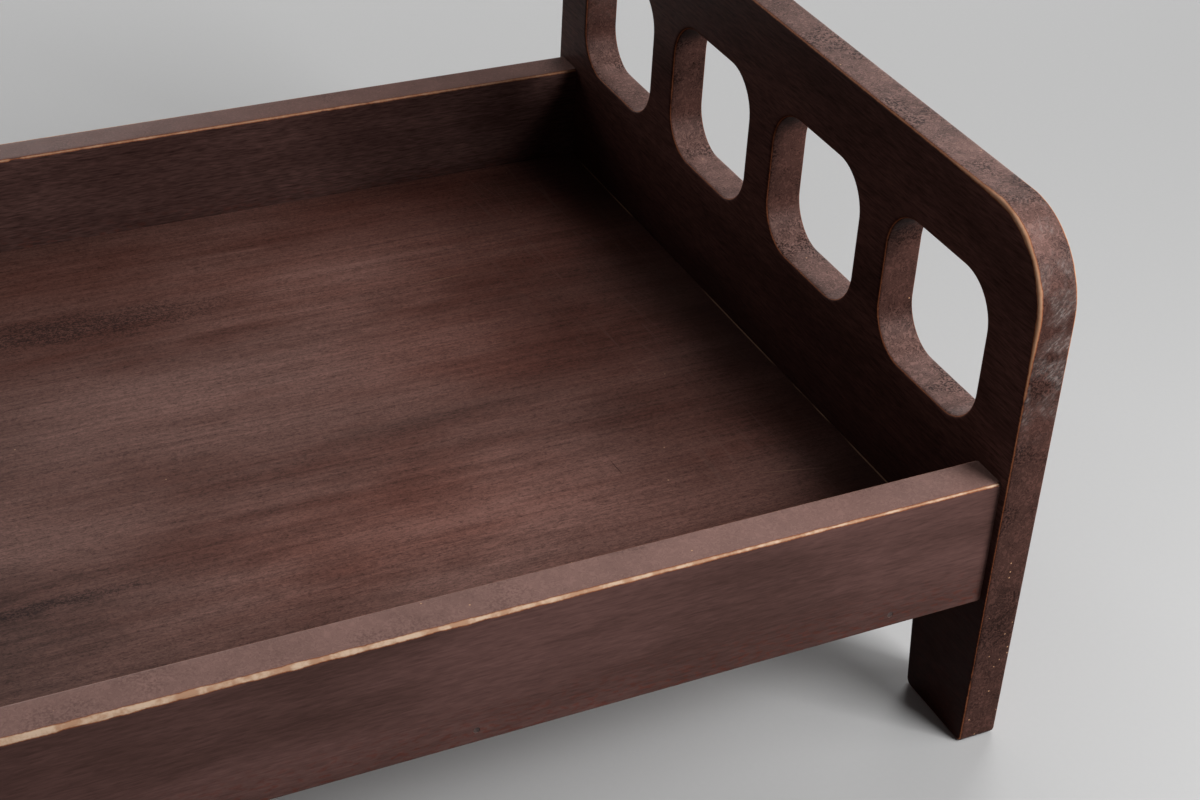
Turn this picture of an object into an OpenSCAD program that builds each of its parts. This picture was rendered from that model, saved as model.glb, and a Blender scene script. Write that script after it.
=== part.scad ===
// Small stained board bed: two end panels whose lower corners are the legs, two side rails
// dowelled between them, and a thin platform panel held between the rails by brads.
// +X points to the head end, +Y to the far side, +Z up; the origin is on the floor at the middle.

/* [Bed] */
// Overall length, from one end panel's outer face to the other's
bed_l = 664; // [480:1:900]
// Overall width, which is the width of the end panels
bed_w = 425; // [400:1:600]

/* [End panels] */
// Thickness of the head and foot panels
end_t = 18; // [15:0.5:25]
// Height of the head panel
head_h = 247; // [230:1:400]
// Height of the foot panel
foot_h = 247; // [230:1:400]
// Radius of the rounded top corners
top_r = 38; // [5:1:60]
// Width of a leg at the floor
leg_w = 43; // [30:1:80]
// Lean of a leg's inner edge, in degrees from upright
leg_lean = 6; // [0:0.5:15]
// Board left between the underside of the rails and the top of the arch between the legs
arch_drop = 9; // [2:1:40]
// Radius of the arch's two corners
arch_r = 20; // [4:1:28]
// Radius of the corners at the bottom of each leg
foot_r = 3; // [1:0.5:8]

/* [Windows] */
// Number of windows across an end panel
window_count = 4; // [1:1:4]
// Width of a window
window_w = 74; // [46:1:80]
// Height of a window
window_h = 68; // [46:1:80]
// Board left between two windows
window_gap = 23; // [10:1:30]
// Height of the window sills above the top of the rails
window_rise = 7; // [0:1:20]
// Radius of a window's corners
window_r = 20; // [2:1:22]

/* [Rails] */
// Thickness of a side rail
rail_t = 18; // [15:0.5:25]
// Height of a side rail
rail_h = 60; // [45:1:75]
// Height of the rails' underside above the floor
rail_z = 75; // [50:1:90]
// Step from an end panel's side edge in to a rail's outer face
rail_inset = 4; // [1:0.5:12]
// Radius of the rails' long arrises
rail_arris_r = 1.2; // [0.5:0.1:4]

/* [Platform] */
// Thickness of the platform panel
platform_t = 9; // [6:0.5:18]
// Height of the platform's underside above the rails' underside
platform_lift = 2; // [0:0.5:20]
// Gap between the platform's edges and the boards round it
platform_gap = 0.2; // [0.1:0.05:1]

/* [Dowels] */
// Diameter of a wooden dowel
dowel_d = 8; // [6:0.5:10]
// Length of a dowel
dowel_l = 34; // [24:1:50]
// Length of a dowel that sits in the end panel
dowel_in_panel = 12; // [8:0.5:13]
// Distance from a rail's top or bottom edge to a dowel's axis
dowel_edge = 15; // [10:0.5:17]
// Chamfer at a dowel's ends
dowel_chamfer = 1; // [0.5:0.1:2]

/* [Brads] */
// Number of brads along a rail
brad_count = 4; // [2:1:8]
// Distance from a rail's end to its first brad
brad_first = 44; // [30:1:80]
// Diameter of a brad's shank
brad_d = 1.6; // [1.2:0.1:2.5]
// Length of a brad, head included
brad_l = 32; // [25:1:45]
// Diameter of a brad's head
brad_head_d = 2.6; // [2.6:0.1:4]
// Thickness of a brad's head
brad_head_t = 0.8; // [0.5:0.1:1.5]
// Length of a brad's point
brad_point = 3; // [1:0.5:5]
// Depth of a brad's head below the rail's face, filled flush
brad_sink = 1.2; // [0.5:0.1:3]

/* [Fits] */
// Clearance all round a dowel, brad or filler in its hole
hole_clear = 0.05; // [0.02:0.01:0.2]
// Free depth past the end of a dowel or a brad in its hole
hole_spare = 1; // [0.5:0.5:3]

/* [Hidden] */
$fn = 96;

HEAD = 1;
FOOT = -1;
FAR = 1;
NEAR = -1;

// How far a cut runs past the face that it opens
overrun = 1;

panel_colour = "#3b2925";
rail_colour = "#432e2a";
platform_colour = "#5a413b";
dowel_colour = "#c9a67a";
brad_colour = "#8d8d8a";
filler_colour = "#2e1f1c";

// The rails fill the length between the end panels
rail_l = bed_l - 2 * end_t;
// Middle of a rail's thickness, out from the bed's centre line
rail_y = bed_w / 2 - rail_inset - rail_t / 2;
rail_top = rail_z + rail_h;

// The arch follows the rails' underside, and the window sills follow their top
arch_h = rail_z - arch_drop;
leg_w_at_arch = leg_w + arch_h * tan(leg_lean);
window_pitch = window_w + window_gap;
window_z = rail_top + window_rise;

platform_z = rail_z + platform_lift;
platform_l = rail_l - 2 * platform_gap;
platform_w = 2 * rail_y - rail_t - 2 * platform_gap;

dowel_in_rail = dowel_l - dowel_in_panel;
dowel_levels = [rail_z + dowel_edge, rail_top - dowel_edge];

// Brads enter the middle of the platform's edge
brad_z = platform_z + platform_t / 2;
brad_step = (rail_l - 2 * brad_first) / (brad_count - 1);

// Unit vector from point a towards point b
function towards(a, b) = (b - a) / norm(b - a);

// Flat outline with each corner rounded by its own radius. At a corner the straight edges stop
// where the arc starts, and the arc is a true circle: added at an outward corner and cut at an
// inward one. The points run anticlockwise.
module rounded_outline(points, radii) {
    n = len(points);
    back = [for (i = [0:n - 1]) towards(points[i], points[(i + n - 1) % n])];
    ahead = [for (i = [0:n - 1]) towards(points[i], points[(i + 1) % n])];
    half = [for (i = [0:n - 1]) acos(back[i] * ahead[i]) / 2];
    outward = [for (i = [0:n - 1]) cross(ahead[i], back[i]) > 0];
    centre = [for (i = [0:n - 1])
        points[i] + towards([0, 0], back[i] + ahead[i]) * radii[i] / sin(half[i])];
    start = [for (i = [0:n - 1]) points[i] + back[i] * radii[i] / tan(half[i])];
    end = [for (i = [0:n - 1]) points[i] + ahead[i] * radii[i] / tan(half[i])];
    difference() {
        union() {
            polygon([for (i = [0:n - 1]) each [start[i], centre[i], end[i]]]);
            for (i = [0:n - 1])
                if (outward[i]) translate(centre[i]) circle(r = radii[i]);
        }
        for (i = [0:n - 1])
            if (!outward[i]) translate(centre[i]) circle(r = radii[i]);
    }
}

// Rectangle centred on its width, standing on the X axis, with all corners alike
module rounded_rectangle(w, h, r) {
    rounded_outline([[-w / 2, 0], [w / 2, 0], [w / 2, h], [-w / 2, h]], [r, r, r, r]);
}

// Turns a flat outline to stand across the bed and gives it a length along X from x
module across_bed(x, length) {
    translate([x, 0, 0]) rotate([90, 0, 90]) linear_extrude(length) children();
}

// Outline of an end panel: rounded top corners, and an arch that leaves a leg at each side
module end_outline(h) {
    half_w = bed_w / 2;
    rounded_outline(
        [
            [-half_w, 0], [-half_w + leg_w, 0],
            [-half_w + leg_w_at_arch, arch_h], [half_w - leg_w_at_arch, arch_h],
            [half_w - leg_w, 0], [half_w, 0],
            [half_w, h], [-half_w, h]
        ],
        [foot_r, foot_r, arch_r, arch_r, foot_r, foot_r, top_r, top_r]
    );
}

// Row of windows, centred on the panel
module window_outlines() {
    for (i = [0:window_count - 1])
        translate([(i - (window_count - 1) / 2) * window_pitch, window_z])
            rounded_rectangle(window_w, window_h, window_r);
}

// Puts its children at each dowel of one end, with their +Z pointing out into the end panel
// and their origin on the joint face
module at_dowels(end, sides = [NEAR, FAR]) {
    for (side = sides, z = dowel_levels)
        translate([end * rail_l / 2, side * rail_y, z]) rotate([0, end * 90, 0]) children();
}

// Puts its children at each brad of one rail, with their +Z pointing out of the rail's face
// and their origin on that face
module at_brads(side) {
    for (i = [0:brad_count - 1])
        translate([-rail_l / 2 + brad_first + i * brad_step, side * (rail_y + rail_t / 2), brad_z])
            rotate([-90 * side, 0, 0]) children();
}

// Hole for a dowel, through the joint face into both boards
module dowel_hole() {
    translate([0, 0, -dowel_in_rail - hole_spare])
        cylinder(d = dowel_d + 2 * hole_clear, h = dowel_l + 2 * hole_spare);
}

// Wooden dowel with chamfered ends
module dowel() {
    r = dowel_d / 2;
    rotate_extrude()
        polygon([
            [0, -dowel_in_rail], [r - dowel_chamfer, -dowel_in_rail],
            [r, -dowel_in_rail + dowel_chamfer], [r, dowel_in_panel - dowel_chamfer],
            [r - dowel_chamfer, dowel_in_panel], [0, dowel_in_panel]
        ]);
}

// Hole for a brad: a wide mouth for its head and filler, and a long narrow one for its shank
module brad_hole() {
    seat = -brad_sink - brad_head_t;
    translate([0, 0, seat])
        cylinder(d = brad_head_d + 2 * hole_clear, h = overrun - seat);
    translate([0, 0, -brad_sink - brad_l - hole_spare])
        cylinder(d = brad_d + 2 * hole_clear, h = brad_l + hole_spare);
}

// Wire brad with a flat head and a cone point
module brad() {
    top = -brad_sink;
    tip = top - brad_l;
    rotate_extrude()
        polygon([
            [0, tip], [brad_d / 2, tip + brad_point], [brad_d / 2, top - brad_head_t],
            [brad_head_d / 2, top - brad_head_t], [brad_head_d / 2, top], [0, top]
        ]);
}

// Plug of filler over a sunk head, flush with the rail's face
module filler_plug() {
    translate([0, 0, -brad_sink]) cylinder(d = brad_head_d, h = brad_sink);
}

// One end panel, with its windows and its blind dowel holes
module end_panel(end, h) {
    difference() {
        across_bed(end == HEAD ? rail_l / 2 : -bed_l / 2, end_t)
            difference() {
                end_outline(h);
                window_outlines();
            }
        at_dowels(end) dowel_hole();
    }
}

// One side rail, with dowel holes in its ends and brad holes through its face
module rail(side) {
    difference() {
        translate([0, side * rail_y, 0])
            across_bed(-rail_l / 2, rail_l)
                translate([0, rail_z]) rounded_rectangle(rail_t, rail_h, rail_arris_r);
        at_dowels(HEAD, [side]) dowel_hole();
        at_dowels(FOOT, [side]) dowel_hole();
        at_brads(side) brad_hole();
    }
}

module head_panel() { color(panel_colour) end_panel(HEAD, head_h); }

module foot_panel() { color(panel_colour) end_panel(FOOT, foot_h); }

module near_rail() { color(rail_colour) rail(NEAR); }

module far_rail() { color(rail_colour) rail(FAR); }

// Thin panel between the rails, with blind brad holes in its long edges
module platform_panel() {
    color(platform_colour)
        difference() {
            translate([-platform_l / 2, -platform_w / 2, platform_z])
                cube([platform_l, platform_w, platform_t]);
            for (side = [NEAR, FAR]) at_brads(side) brad_hole();
        }
}

module head_dowels() { color(dowel_colour) at_dowels(HEAD) dowel(); }

module foot_dowels() { color(dowel_colour) at_dowels(FOOT) dowel(); }

module near_brads() { color(brad_colour) at_brads(NEAR) brad(); }

module far_brads() { color(brad_colour) at_brads(FAR) brad(); }

module near_brad_filler() { color(filler_colour) at_brads(NEAR) filler_plug(); }

module far_brad_filler() { color(filler_colour) at_brads(FAR) filler_plug(); }

head_panel();
foot_panel();
near_rail();
far_rail();
platform_panel();
head_dowels();
foot_dowels();
near_brads();
far_brads();
near_brad_filler();
far_brad_filler();
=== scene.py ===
"""Looks of a small stained board bed: windowed end panels, side rails and a veneered platform.

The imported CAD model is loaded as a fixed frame. The boards are modelled again here with eased
arrises and worn stain, each in the place of its CAD node. The dowels and brads keep their CAD
shapes and get materials of their own. All sizes are in metres in the row frame: +X towards the
head end, +Y to the far side, +Z up, with the floor at zero.
"""

import logging
import math
from collections.abc import Callable, Iterable, Sequence
from dataclasses import dataclass
from enum import Enum

import bmesh
import bpy
from bpy.types import Material, Node, NodeSocket, Object, World
from mathutils import Matrix, Vector


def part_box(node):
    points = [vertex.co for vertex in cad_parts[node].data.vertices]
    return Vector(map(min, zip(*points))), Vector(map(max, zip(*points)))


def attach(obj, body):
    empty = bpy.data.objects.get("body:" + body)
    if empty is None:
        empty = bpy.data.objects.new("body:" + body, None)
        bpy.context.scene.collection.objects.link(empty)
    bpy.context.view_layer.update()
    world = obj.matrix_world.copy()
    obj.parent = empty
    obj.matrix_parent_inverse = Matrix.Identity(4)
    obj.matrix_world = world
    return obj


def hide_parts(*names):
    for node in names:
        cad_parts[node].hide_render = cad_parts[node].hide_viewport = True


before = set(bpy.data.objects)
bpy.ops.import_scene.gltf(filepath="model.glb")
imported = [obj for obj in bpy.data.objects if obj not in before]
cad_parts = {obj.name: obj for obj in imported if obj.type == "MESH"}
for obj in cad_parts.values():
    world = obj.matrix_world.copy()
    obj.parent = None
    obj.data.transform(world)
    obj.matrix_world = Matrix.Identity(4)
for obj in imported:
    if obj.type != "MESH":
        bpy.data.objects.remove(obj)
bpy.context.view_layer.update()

log = logging.getLogger("small_bed")

MM = 0.001
BODY = "root"

# Edges that turn by less than this are shaded smooth
SMOOTH_UNDER = math.radians(40)

# Edges of a square blank that turn by more than this are arrises
ARRIS_OVER = math.radians(50)

# A face looks along an axis where its normal's share on that axis is above this
ALONG_AXIS = 0.9

# A face stands square to an axis where that share is below this
SQUARE_TO_AXIS = 0.1

# A face is one of a board's cut edges where that share is below this on the board's thin axis
CUT_UNDER = 0.8

# A point this close to a line is taken to lie on it
ON_LINE = 1.0 * MM

# The material slot that tells a board's eased arrises apart until it is dressed
EASED_SLOT = 1

# Attributes that the boards carry for their finish
FROM_ARRIS = "from_arris"
CUT_EDGE = "cut_edge"
RUB = "rub"
PALE = "pale"
# How lit a face is painted: 0 on the shaded inside of the bed, 1 on lit faces and upward edges, below 0 for
# painted shade on edges that look down
PAINTED_LIGHT = "painted_light"
# Pale scuffs, partly a painted sheen near the top corners
SCUFF_SHEEN = "scuff_sheen"

# Sockets of the Mix node for colours, by number, because its sockets share their names
MIX_FACTOR, MIX_A, MIX_B, MIX_OUT = 0, 6, 7, 2


class Grain(Enum):
    """Which way the grain of a board runs."""

    ALONG = 0
    ACROSS = 1


# What feeds a node's input: a number or a colour, or the socket of another node
Value = float | NodeSocket
Colour = tuple[float, float, float, float] | NodeSocket


class Part(Enum):
    """What a selection at the bench is made of."""

    VERTS = "VERT"
    EDGES = "EDGE"
    FACES = "FACE"


def linear(hex_colour: str) -> tuple[float, float, float, float]:
    """Turns an sRGB hex colour to linear.

    Args:
        hex_colour: The colour as #rrggbb.

    Returns:
        Red, green, blue and an alpha of 1, linear.
    """
    shares = [int(hex_colour[i:i + 2], 16) / 255 for i in (1, 3, 5)]
    red, green, blue = (s / 12.92 if s <= 0.04045 else ((s + 0.055) / 1.055) ** 2.4 for s in shares)
    return red, green, blue, 1.0


def smooth(value: float, low: float, high: float) -> float:
    """Gives 0 before low, 1 past high and a smooth step between them; high may be the lower one."""
    t = min(max((value - low) / (high - low), 0.0), 1.0)
    return t * t * (3 - 2 * t)


@dataclass(frozen=True)
class Recipe:
    """The node tree of one material or world, filled node by node."""

    owner: Material | World

    @classmethod
    def empty(cls, owner: Material | World) -> "Recipe":
        """Starts on a tree without nodes.

        Args:
            owner: The new material or world.

        Returns:
            Its recipe.
        """
        owner.use_nodes = True
        owner.node_tree.nodes.clear()
        return cls(owner)

    def add(
        self,
        kind: str,
        inputs: dict[str | int, object] | None = None,
        ramp: Sequence[tuple[float, str]] = (),
        **settings: object,
    ) -> Node:
        """Adds a node with its settings and links.

        Args:
            kind: Blender's name for the node's type.
            inputs: For each input socket, by name or number, a value or the socket that feeds it.
            ramp: Stops of a colour ramp, each a position and a hex colour.
            settings: The node's own properties.

        Returns:
            The new node.
        """
        node = self.owner.node_tree.nodes.new(kind)
        for key, value in settings.items():
            setattr(node, key, value)
        for i, (position, colour) in enumerate(ramp):
            stops = node.color_ramp.elements
            stop = stops[i] if i < len(stops) else stops.new(position)
            stop.position = position
            stop.color = linear(colour)
        for key, value in (inputs or {}).items():
            if isinstance(value, NodeSocket):
                self.owner.node_tree.links.new(value, node.inputs[key])
            else:
                node.inputs[key].default_value = value
        return node

    def pattern(
        self,
        size_mm: tuple[float, float, float],
        detail: float = 2.0,
        distortion: float = 0.0,
        seed: float = 0.0,
        turn: tuple[float, float, float] = (0.0, 0.0, 0.0),
    ) -> NodeSocket:
        """Adds a cloudy pattern whose blots have a real size along each axis.

        Args:
            size_mm: Size of a blot along X, Y and Z.
            detail: How many finer layers it has.
            distortion: How far its lines wander.
            seed: Any number, so that two patterns of one size differ.
            turn: Degrees that the pattern is turned about X, Y and Z.

        Returns:
            Its value, from 0 to 1 with its middle at 0.5.
        """
        blots = self.grid((seed,) * 3, tuple(math.radians(t) for t in turn), tuple(s * MM for s in size_mm))
        noise = self.add(
            "ShaderNodeTexNoise",
            {"Vector": blots, "Scale": 1.0, "Detail": detail, "Roughness": 0.55, "Distortion": distortion},
        )
        return noise.outputs["Fac"]

    def place(self) -> NodeSocket:
        """Gives the place on the piece, in metres."""
        return self.add("ShaderNodeTexCoord").outputs["Object"]

    def grid(
        self,
        middle: tuple[float, float, float],
        turn: tuple[float, float, float],
        cell: tuple[float, float, float],
    ) -> NodeSocket:
        """Gives the place on the piece, counted in the cells of a turned grid.

        Args:
            middle: The grid's own origin, in metres.
            turn: Angles that it is turned about X, Y and Z.
            cell: Size of its cells, in metres.

        Returns:
            The place in cells.
        """
        inputs = {"Vector": self.place(), "Location": middle, "Rotation": turn, "Scale": cell}
        return self.add("ShaderNodeMapping", inputs, vector_type="TEXTURE").outputs["Vector"]

    def away(self, place: NodeSocket) -> NodeSocket:
        """Gives how far a place lies from the origin."""
        return self.add("ShaderNodeVectorMath", {0: place}, operation="LENGTH").outputs["Value"]

    def dots(self, cell_mm: float, radius_mm: float, share: Value) -> NodeSocket:
        """Scatters small round dots.

        Args:
            cell_mm: Spacing of the places where a dot may be.
            radius_mm: Radius of a dot.
            share: Share of those places that have one, a number or a socket.

        Returns:
            1 on a dot and 0 off it, with a soft rim.
        """
        grid = self.grid((0.0, 0.0, 0.0), (0.0, 0.0, 0.0), (cell_mm * MM,) * 3)
        cells = self.add("ShaderNodeTexVoronoi", {"Vector": grid, "Scale": 1.0})
        reach = radius_mm / cell_mm
        inside = self.step(cells.outputs["Distance"], reach, 0.6 * reach)
        chance = self.add("ShaderNodeSeparateColor", {"Color": cells.outputs["Color"]})
        return self.maths("MULTIPLY", inside, self.maths("LESS_THAN", chance.outputs[0], share))

    def ridges(self, value: NodeSocket, width: float) -> NodeSocket:
        """Draws thin winding lines where a pattern crosses its middle.

        Args:
            value: The pattern.
            width: Half the width of a line, in the pattern's own value.

        Returns:
            1 along the lines and 0 off them.
        """
        return self.step(self.maths("ABSOLUTE", self.maths("SUBTRACT", value, 0.5)), width, 0.0)

    def axes(self) -> tuple[NodeSocket, NodeSocket, NodeSocket]:
        """Gives the place along X, Y and Z in metres."""
        split = self.add("ShaderNodeSeparateXYZ", {"Vector": self.place()})
        return split.outputs["X"], split.outputs["Y"], split.outputs["Z"]

    def attribute(self, name: str) -> NodeSocket:
        """Adds one of the board's attributes and gives its value."""
        return self.add("ShaderNodeAttribute", attribute_name=name).outputs["Fac"]

    def seen(self) -> NodeSocket:
        """Tells what is seen from what gives light.

        Returns:
            1 for rays of the camera and those that gloss or glass shows, 0 for all others.
        """
        path = self.add("ShaderNodeLightPath")
        shown = self.maths("MAXIMUM", path.outputs["Is Glossy Ray"], path.outputs["Is Transmission Ray"])
        return self.maths("MAXIMUM", path.outputs["Is Camera Ray"], shown)

    def maths(self, operation: str, *values: Value) -> NodeSocket:
        """Adds a sum on values or sockets.

        Args:
            operation: Blender's name for the sum.
            values: Its terms, in order.

        Returns:
            The result.
        """
        return self.add("ShaderNodeMath", dict(enumerate(values)), operation=operation).outputs[0]

    def step(self, value: NodeSocket, low: Value, high: Value) -> NodeSocket:
        """Adds a smooth step from 0 at low to 1 at high.

        Args:
            value: What is compared.
            low: Where the step starts.
            high: Where it ends, which may be below low.

        Returns:
            The step's value.
        """
        node = self.add(
            "ShaderNodeMapRange",
            {"Value": value, "From Min": low, "From Max": high},
            interpolation_type="SMOOTHSTEP",
        )
        return node.outputs["Result"]

    def fade(self, place: NodeSocket, ends_mm: tuple[float, float]) -> NodeSocket:
        """Adds a smooth step along an axis.

        Args:
            place: The place along the axis, in metres.
            ends_mm: Where the step is still 0 and where it reaches 1, in millimetres.

        Returns:
            The step's value.
        """
        return self.step(place, ends_mm[0] * MM, ends_mm[1] * MM)

    def blend(self, factor: Value, a: Value | Colour, b: Value | Colour, how: str = "MIX") -> NodeSocket:
        """Adds a blend of two colours or values.

        Args:
            factor: Share of the second colour.
            a: The first colour.
            b: The second colour, laid over the first.
            how: Blender's name for the way of blending.

        Returns:
            The blended colour.
        """
        node = self.add(
            "ShaderNodeMix",
            {MIX_FACTOR: factor, MIX_A: a, MIX_B: b},
            data_type="RGBA",
            blend_type=how,
        )
        return node.outputs[MIX_OUT]

    def surface(
        self,
        inputs: dict[str | int, object],
        height: NodeSocket | None = None,
        depth_mm: float = 0.0,
    ) -> Material:
        """Ends the recipe with its surface shader.

        Args:
            inputs: Sockets of the surface shader.
            height: Height of the surface's relief, from 0 to 1, or None for a flat one.
            depth_mm: How deep that relief is.

        Returns:
            The finished material.
        """
        if height is not None:
            bump = self.add("ShaderNodeBump", {"Height": height, "Distance": depth_mm * MM, "Strength": 1.0})
            inputs = inputs | {"Normal": bump.outputs["Normal"]}
        shader = self.add("ShaderNodeBsdfPrincipled", inputs)
        self.add("ShaderNodeOutputMaterial", {"Surface": shader.outputs["BSDF"]})
        return self.owner


# The board's colour has light and shade painted in: darker inner faces, lighter outer faces and upward
# edges, painted shade low on inner faces and on edges that look down, and a painted sheen near the top
# corners
@dataclass(frozen=True)
class StainedBoard:
    """Dark stained fibreboard under a satin lacquer: close and even on its faces, mottled and fibrous
    on its cut edges, rubbed through to bare tan board along its arrises."""

    name: str
    grain: Grain
    # Shaded and lit copies of the face stain: darker for the painted shade inside the bed, lighter for the
    # painted light outside
    shaded_inner_dark: str = "#3a2622"
    shaded_inner_light: str = "#4e342f"
    lit_outer_dark: str = "#4b3632"
    lit_outer_light: str = "#604642"
    face_red: str = "#5b2b20"
    side_edge: str = "#4b322c"
    # Upward cut edges, painted lighter as they face the light
    lit_top_edge: str = "#84665f"
    # Dark smut on the cut edges, and the colour of the painted shade on edges that look down
    edge_dirt_and_shade: str = "#1d100d"
    # Painted shade low on the inner faces, near the platform and on the legs' inner side
    low_shade: str = "#1c0806"
    low_shade_top_mm: float = 145.0
    low_shade_fade_mm: float = 75.0
    reddens_mm: tuple[float, float] = (100.0, 75.0)
    chips_more_mm: tuple[float, float] = (130.0, 10.0)
    chip: str = "#d2a27c"
    # Pale grey scuffs, partly a painted sheen
    scuff_and_sheen: str = "#9c908c"
    bare_rim: str = "#84482a"
    bare_middle: str = "#b07f60"
    bare_core: str = "#d8bca3"
    blotch: float = 1.0
    fibre: float = 1.0

    def build(self) -> Material:
        """Makes the material.

        Returns:
            The finished material.
        """
        recipe = Recipe.empty(bpy.data.materials.new(self.name))
        cut = recipe.attribute(CUT_EDGE)
        painted_light = recipe.attribute(PAINTED_LIGHT)
        hatch = recipe.pattern(self._run_mm(7.0, 0.8), detail=2.0, distortion=0.4)
        # Real fibres are thinner than a pixel, so they are drawn as coarse as they need to show
        fibre = recipe.pattern((2.0, 2.0, 2.0), detail=1.0, distortion=1.3)
        stained = recipe.blend(cut, self._face(recipe, painted_light, hatch), self._edge(recipe, painted_light, fibre))
        scuffed, stained = self._scuffs(recipe, cut, stained)
        worn, bare = self._wear(recipe)
        colour = recipe.blend(worn, stained, bare)
        gloss = recipe.pattern((9.0, 9.0, 9.0), detail=2.0)
        roughness = recipe.maths("MULTIPLY_ADD", gloss, 0.2, 0.34)
        roughness = recipe.maths("MULTIPLY_ADD", recipe.maths("ADD", worn, scuffed), 0.12, roughness)
        relief = recipe.blend(cut, hatch, fibre)
        inputs = {"Base Color": colour, "Roughness": roughness, "Specular IOR Level": 0.03}
        return recipe.surface(inputs, relief, depth_mm=0.04)

    def _run_mm(self, along: float, across: float) -> tuple[float, float, float]:
        """Gives the size of a pattern that runs with the grain.

        Args:
            along: Its size along the grain.
            across: Its size across the grain.

        Returns:
            Its size along X, Y and Z.
        """
        return (along, across, across) if self.grain is Grain.ALONG else (across, along, across)

    def _face(self, recipe: Recipe, painted_light: NodeSocket, hatch: NodeSocket) -> NodeSocket:
        """Colours the board's faces.

        Args:
            recipe: The material's recipe.
            painted_light: How lit the face is painted: 0 on the shaded inside of the bed, 1 on lit faces.
            hatch: The short fine grain marks, which show less on the lit faces.

        Returns:
            The colour.
        """
        cloudy = recipe.step(recipe.pattern(self._run_mm(110.0, 28.0), detail=3.0), 0.3, 0.7)
        # Painted light and shade: the shaded copy inside the bed, the lit copy outside
        inner = recipe.blend(cloudy, linear(self.shaded_inner_dark), linear(self.shaded_inner_light))
        outer = recipe.blend(cloudy, linear(self.lit_outer_dark), linear(self.lit_outer_light))
        tone = recipe.blend(painted_light, inner, outer)
        low = recipe.fade(recipe.axes()[2], self.reddens_mm)
        flecks = recipe.step(recipe.pattern(self._run_mm(4.0, 1.6), detail=2.0, seed=0.3), 0.5, 0.66)
        red = recipe.maths("MULTIPLY_ADD", low, recipe.maths("MULTIPLY", flecks, 0.5), 0.06)
        colour = recipe.blend(red, tone, linear(self.face_red))
        lines = recipe.pattern(self._run_mm(55.0, 1.3), detail=2.0, seed=0.1)
        marks = recipe.maths("MULTIPLY_ADD", hatch, 2.0, recipe.maths("MULTIPLY", lines, 0.6))
        soft = recipe.maths("MULTIPLY_ADD", painted_light, -0.55, 1.0)
        shade = recipe.maths("MULTIPLY_ADD", recipe.maths("SUBTRACT", marks, 1.3), soft, 1.0)
        # Painted shade low on the inner faces, where little light reaches
        low_shaded = recipe.fade(recipe.axes()[2], (self.low_shade_top_mm, self.low_shade_top_mm - self.low_shade_fade_mm))
        low_shaded = recipe.maths("MULTIPLY", low_shaded, recipe.maths("MULTIPLY_ADD", painted_light, -0.8, 0.8))
        return recipe.blend(low_shaded, recipe.blend(1.0, colour, shade, "MULTIPLY"), linear(self.low_shade))

    def _edge(self, recipe: Recipe, painted_light: NodeSocket, fibre: NodeSocket) -> NodeSocket:
        """Colours the board's cut edges.

        Args:
            recipe: The material's recipe.
            painted_light: How lit the edge is painted: more on upward edges, below 0 on edges that look
                down.
            fibre: The board's fibres.

        Returns:
            The colour.
        """
        # Upward edges are painted lighter, as lit from above
        tone = recipe.blend(painted_light, linear(self.side_edge), linear(self.lit_top_edge))
        # Painted shade: cut edges that look down are darkened towards the dark smut colour
        under = recipe.step(painted_light, -0.1, -1.0)
        tone = recipe.blend(recipe.maths("MULTIPLY", under, 0.7), tone, linear(self.edge_dirt_and_shade))
        blots = recipe.pattern((17.0, 17.0, 17.0), detail=4.0)
        shade = recipe.maths("MULTIPLY_ADD", recipe.maths("SUBTRACT", blots, 0.5), 1.5 * self.blotch, 1.0)
        grain = recipe.maths("MULTIPLY", recipe.maths("SUBTRACT", fibre, 0.5), 1.2 * self.fibre)
        worms = recipe.maths("MULTIPLY", recipe.ridges(fibre, 0.05), -0.6 * self.fibre)
        shade = recipe.maths("ADD", shade, recipe.maths("ADD", grain, worms))
        colour = recipe.blend(1.0, tone, shade, "MULTIPLY")
        patches = recipe.step(recipe.pattern((30.0, 30.0, 30.0), detail=2.0, seed=0.2), 0.5, 0.64)
        grit = recipe.step(recipe.pattern((1.1, 1.1, 1.1), detail=1.0), 0.46, 0.6)
        smut = recipe.maths("MULTIPLY", recipe.maths("MULTIPLY", patches, grit), 0.8 * self.blotch)
        colour = recipe.blend(smut, colour, linear(self.edge_dirt_and_shade))
        low = recipe.fade(recipe.axes()[2], self.chips_more_mm)
        chips = recipe.dots(cell_mm=3.2, radius_mm=0.42, share=recipe.maths("MULTIPLY_ADD", low, 0.55, 0.04))
        return recipe.blend(recipe.maths("MULTIPLY", chips, 0.8), colour, linear(self.chip))

    def _scuffs(self, recipe: Recipe, cut: NodeSocket, colour: NodeSocket) -> tuple[NodeSocket, NodeSocket]:
        """Rubs pale slanting scuffs into the corners that get knocked; round the top corners they are partly
        a painted sheen.

        Args:
            recipe: The material's recipe.
            cut: Where the board's cut edges are.
            colour: The stained board's colour.

        Returns:
            How scuffed each point is, and the colour with its scuffs.
        """
        slanting = recipe.pattern((2.4, 2.4, 1.0), detail=3.0, turn=(0.0, -40.0, 0.0))
        strokes = recipe.maths("MULTIPLY_ADD", recipe.step(slanting, 0.46, 0.7), 0.8, 0.2)
        mist = recipe.step(recipe.pattern((11.0, 11.0, 11.0), detail=2.0, seed=0.5), 0.42, 0.62)
        # Pale scuffs, partly a painted sheen round the top corners
        scuffed = recipe.maths("MULTIPLY", recipe.attribute(SCUFF_SHEEN), strokes)
        scuffed = recipe.maths("MULTIPLY", scuffed, recipe.maths("MULTIPLY", mist, cut))
        return scuffed, recipe.blend(scuffed, colour, linear(self.scuff_and_sheen))

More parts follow.
